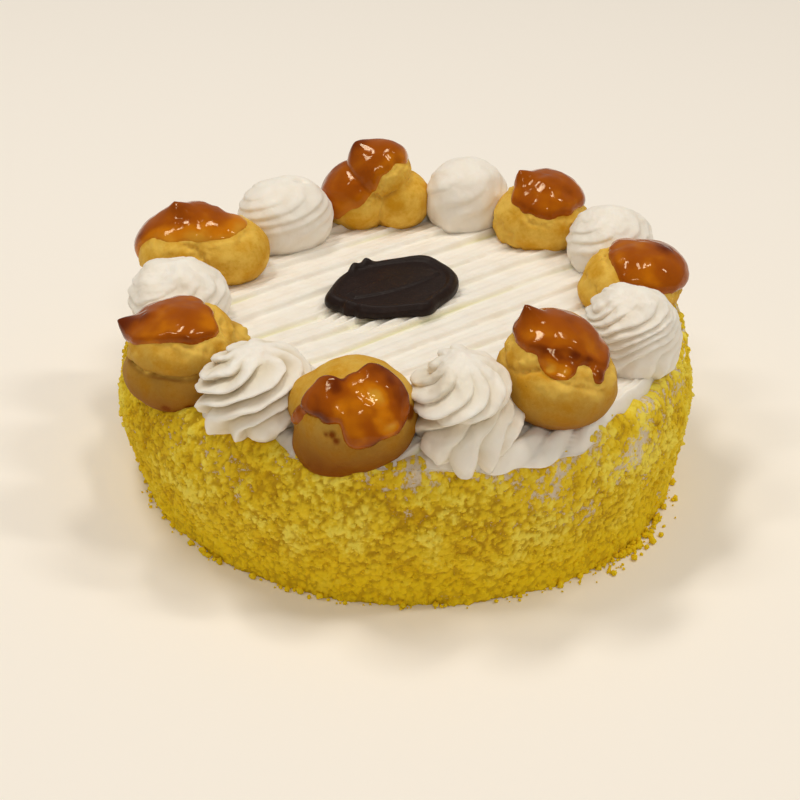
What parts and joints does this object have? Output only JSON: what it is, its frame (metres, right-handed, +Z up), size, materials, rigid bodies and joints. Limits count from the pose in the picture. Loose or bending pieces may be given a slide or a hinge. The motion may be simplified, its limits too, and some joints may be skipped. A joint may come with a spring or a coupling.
{
  "type": "saint-honore cake",
  "caption": "Round layer cake coated in yellow crumbs, with a ribbed cream top, a ring of caramel-dipped cream puffs and piped cream rosettes, and an oval chocolate plaque.",
  "frame": {"origin": "middle of the flat base that the cake rests on", "axes": "+Z up, -Y towards the side that faces the viewer, +X to the viewer's right"},
  "size_m": [0.2264, 0.2279, 0.1073],
  "materials": {
    "crumb": "dry crumbly cake, no shine",
    "cream": "soft satin whipped cream",
    "choux": "baked crust, satin",
    "caramel": "hard boiled sugar, glassy",
    "chocolate": "dark chocolate, satin"
  },
  "bodies": {
    "root": {"crumb_cake": "crumb", "cream_top": "cream", "puff_front": "choux", "puff_front_right": "choux", "puff_right": "choux", "puff_back_right": "choux", "puff_back": "choux", "puff_back_left": "choux", "puff_left": "choux", "rosette_front_left": "cream", "rosette_front": "cream", "rosette_right": "cream", "rosette_back_right": "cream", "rosette_back": "cream", "rosette_back_left": "cream", "rosette_left": "cream", "chocolate_plaque": "chocolate"}
  },
  "joints": []
}
